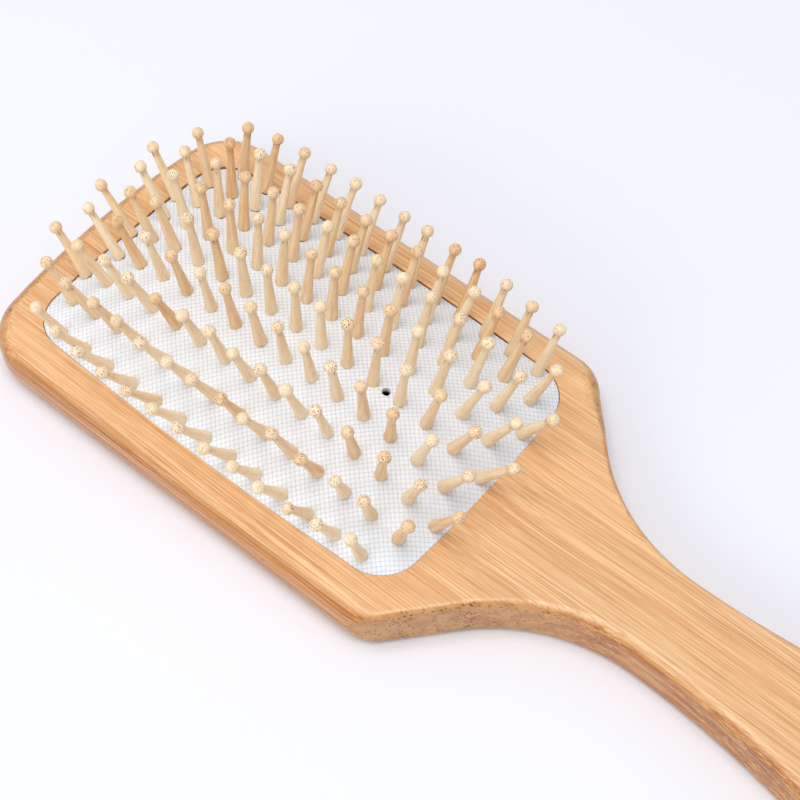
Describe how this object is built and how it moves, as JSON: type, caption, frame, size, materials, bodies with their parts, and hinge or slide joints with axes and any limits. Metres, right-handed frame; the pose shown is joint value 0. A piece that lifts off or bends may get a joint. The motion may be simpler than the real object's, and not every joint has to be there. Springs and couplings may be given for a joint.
{
  "type": "paddle brush",
  "caption": "Wooden paddle hairbrush: flat board with handle, pocket with a domed rubber air cushion faced in woven cloth, and rows of ball-tipped turned pins fanning out of it.",
  "frame": {"origin": "middle of the whole length, on the centre line, at the flat back", "axes": "+X from the head to the handle, +Y across the head, +Z out of the pins' side"},
  "size_m": [0.245, 0.0852, 0.0393],
  "materials": {
    "bamboo_board": "lacquered bamboo board with fine lengthwise grain",
    "bamboo_pins": "turned and sanded bamboo, uneven in tone",
    "cushion_rubber": "white moulded rubber",
    "cushion_cloth": "white square weave"
  },
  "bodies": {
    "board": {"bamboo_body": "bamboo_board"},
    "cushion": {"rubber_cushion": "cushion_rubber", "cushion_fabric": "cushion_cloth"},
    "row_01": {"pin_row_01": "bamboo_pins"},
    "row_02": {"pin_row_02": "bamboo_pins"},
    "row_03": {"pin_row_03": "bamboo_pins"},
    "row_04": {"pin_row_04": "bamboo_pins"},
    "row_05": {"pin_row_05": "bamboo_pins"},
    "row_06": {"pin_row_06": "bamboo_pins"},
    "row_07": {"pin_row_07": "bamboo_pins"},
    "row_08": {"pin_row_08": "bamboo_pins"},
    "row_09": {"pin_row_09": "bamboo_pins"},
    "row_10": {"pin_row_10": "bamboo_pins"},
    "row_11": {"pin_row_11": "bamboo_pins"},
    "row_12": {"pin_row_12": "bamboo_pins"},
    "row_13": {"pin_row_13": "bamboo_pins"},
    "row_14": {"pin_row_14": "bamboo_pins"},
    "row_15": {"pin_row_15": "bamboo_pins"},
    "row_16": {"pin_row_16": "bamboo_pins"},
    "row_17": {"pin_row_17": "bamboo_pins"},
    "row_18": {"pin_row_18": "bamboo_pins"},
    "row_19": {"pin_row_19": "bamboo_pins"},
    "row_20": {"pin_row_20": "bamboo_pins"},
    "row_21": {"pin_row_21": "bamboo_pins"},
    "row_22": {"pin_row_22": "bamboo_pins"},
    "row_23": {"pin_row_23": "bamboo_pins"},
    "row_24": {"pin_row_24": "bamboo_pins"},
    "row_25": {"pin_row_25": "bamboo_pins"},
    "row_26": {"pin_row_26": "bamboo_pins"},
    "row_27": {"pin_row_27": "bamboo_pins"},
    "row_28": {"pin_row_28": "bamboo_pins"},
    "row_29": {"pin_row_29": "bamboo_pins"}
  },
  "joints": [
    {"name": "cushion_press", "type": "slide", "parent": "board", "child": "cushion", "axis": [0, 0, 1], "range_m": [-0.0015, 0], "stiffness_N_per_m": 1500, "springref_m": 0.0004, "deforming": ["rubber_cushion", "cushion_fabric"]},
    {"name": "lean_01", "type": "hinge", "parent": "cushion", "child": "row_01", "pos_m": [-0.1098, 0, 0.01297], "axis": [0, 1, 0], "range_deg": [-8, 8], "stiffness_Nm_per_rad": 0.03},
    {"name": "lean_02", "type": "hinge", "parent": "cushion", "child": "row_02", "pos_m": [-0.10605, 0, 0.0145], "axis": [0, 1, 0], "range_deg": [-8, 8], "stiffness_Nm_per_rad": 0.03},
    {"name": "lean_03", "type": "hinge", "parent": "cushion", "child": "row_03", "pos_m": [-0.1023, 0, 0.01498], "axis": [0, 1, 0], "range_deg": [-8, 8], "stiffness_Nm_per_rad": 0.03},
    {"name": "lean_04", "type": "hinge", "parent": "cushion", "child": "row_04", "pos_m": [-0.09855, 0, 0.017], "axis": [0, 1, 0], "range_deg": [-8, 8], "stiffness_Nm_per_rad": 0.03},
    {"name": "lean_05", "type": "hinge", "parent": "cushion", "child": "row_05", "pos_m": [-0.0948, 0, 0.01653], "axis": [0, 1, 0], "range_deg": [-8, 8], "stiffness_Nm_per_rad": 0.03},
    {"name": "lean_06", "type": "hinge", "parent": "cushion", "child": "row_06", "pos_m": [-0.09105, 0, 0.01845], "axis": [0, 1, 0], "range_deg": [-8, 8], "stiffness_Nm_per_rad": 0.03},
    {"name": "lean_07", "type": "hinge", "parent": "cushion", "child": "row_07", "pos_m": [-0.0873, 0, 0.01738], "axis": [0, 1, 0], "range_deg": [-8, 8], "stiffness_Nm_per_rad": 0.03},
    {"name": "lean_08", "type": "hinge", "parent": "cushion", "child": "row_08", "pos_m": [-0.08355, 0, 0.0192], "axis": [0, 1, 0], "range_deg": [-8, 8], "stiffness_Nm_per_rad": 0.03},
    {"name": "lean_09", "type": "hinge", "parent": "cushion", "child": "row_09", "pos_m": [-0.0798, 0, 0.01778], "axis": [0, 1, 0], "range_deg": [-8, 8], "stiffness_Nm_per_rad": 0.03},
    {"name": "lean_10", "type": "hinge", "parent": "cushion", "child": "row_10", "pos_m": [-0.07605, 0, 0.01952], "axis": [0, 1, 0], "range_deg": [-8, 8], "stiffness_Nm_per_rad": 0.03},
    {"name": "lean_11", "type": "hinge", "parent": "cushion", "child": "row_11", "pos_m": [-0.0723, 0, 0.01793], "axis": [0, 1, 0], "range_deg": [-8, 8], "stiffness_Nm_per_rad": 0.03},
    {"name": "lean_12", "type": "hinge", "parent": "cushion", "child": "row_12", "pos_m": [-0.06855, 0, 0.01962], "axis": [0, 1, 0], "range_deg": [-8, 8], "stiffness_Nm_per_rad": 0.03},
    {"name": "lean_13", "type": "hinge", "parent": "cushion", "child": "row_13", "pos_m": [-0.0648, 0, 0.01797], "axis": [0, 1, 0], "range_deg": [-8, 8], "stiffness_Nm_per_rad": 0.03},
    {"name": "lean_14", "type": "hinge", "parent": "cushion", "child": "row_14", "pos_m": [-0.06105, 0, 0.01963], "axis": [0, 1, 0], "range_deg": [-8, 8], "stiffness_Nm_per_rad": 0.03},
    {"name": "lean_15", "type": "hinge", "parent": "cushion", "child": "row_15", "pos_m": [-0.0573, 0, 0.01797], "axis": [0, 1, 0], "range_deg": [-8, 8], "stiffness_Nm_per_rad": 0.03},
    {"name": "lean_16", "type": "hinge", "parent": "cushion", "child": "row_16", "pos_m": [-0.05355, 0, 0.01963], "axis": [0, 1, 0], "range_deg": [-8, 8], "stiffness_Nm_per_rad": 0.03},
    {"name": "lean_17", "type": "hinge", "parent": "cushion", "child": "row_17", "pos_m": [-0.0498, 0, 0.01797], "axis": [0, 1, 0], "range_deg": [-8, 8], "stiffness_Nm_per_rad": 0.03},
    {"name": "lean_18", "type": "hinge", "parent": "cushion", "child": "row_18", "pos_m": [-0.04605, 0, 0.01962], "axis": [0, 1, 0], "range_deg": [-8, 8], "stiffness_Nm_per_rad": 0.03},
    {"name": "lean_19", "type": "hinge", "parent": "cushion", "child": "row_19", "pos_m": [-0.0423, 0, 0.01793], "axis": [0, 1, 0], "range_deg": [-8, 8], "stiffness_Nm_per_rad": 0.03},
    {"name": "lean_20", "type": "hinge", "parent": "cushion", "child": "row_20", "pos_m": [-0.03855, 0, 0.01952], "axis": [0, 1, 0], "range_deg": [-8, 8], "stiffness_Nm_per_rad": 0.03},
    {"name": "lean_21", "type": "hinge", "parent": "cushion", "child": "row_21", "pos_m": [-0.0348, 0, 0.01778], "axis": [0, 1, 0], "range_deg": [-8, 8], "stiffness_Nm_per_rad": 0.03},
    {"name": "lean_22", "type": "hinge", "parent": "cushion", "child": "row_22", "pos_m": [-0.03105, 0, 0.0192], "axis": [0, 1, 0], "range_deg": [-8, 8], "stiffness_Nm_per_rad": 0.03},
    {"name": "lean_23", "type": "hinge", "parent": "cushion", "child": "row_23", "pos_m": [-0.0273, 0, 0.01738], "axis": [0, 1, 0], "range_deg": [-8, 8], "stiffness_Nm_per_rad": 0.03},
    {"name": "lean_24", "type": "hinge", "parent": "cushion", "child": "row_24", "pos_m": [-0.02355, 0, 0.01845], "axis": [0, 1, 0], "range_deg": [-8, 8], "stiffness_Nm_per_rad": 0.03},
    {"name": "lean_25", "type": "hinge", "parent": "cushion", "child": "row_25", "pos_m": [-0.0198, 0, 0.01653], "axis": [0, 1, 0], "range_deg": [-8, 8], "stiffness_Nm_per_rad": 0.03},
    {"name": "lean_26", "type": "hinge", "parent": "cushion", "child": "row_26", "pos_m": [-0.01605, 0, 0.017], "axis": [0, 1, 0], "range_deg": [-8, 8], "stiffness_Nm_per_rad": 0.03},
    {"name": "lean_27", "type": "hinge", "parent": "cushion", "child": "row_27", "pos_m": [-0.0123, 0, 0.01498], "axis": [0, 1, 0], "range_deg": [-8, 8], "stiffness_Nm_per_rad": 0.03},
    {"name": "lean_28", "type": "hinge", "parent": "cushion", "child": "row_28", "pos_m": [-0.00855, 0, 0.0145], "axis": [0, 1, 0], "range_deg": [-8, 8], "stiffness_Nm_per_rad": 0.03},
    {"name": "lean_29", "type": "hinge", "parent": "cushion", "child": "row_29", "pos_m": [-0.0048, 0, 0.01297], "axis": [0, 1, 0], "range_deg": [-8, 8], "stiffness_Nm_per_rad": 0.03}
  ]
}
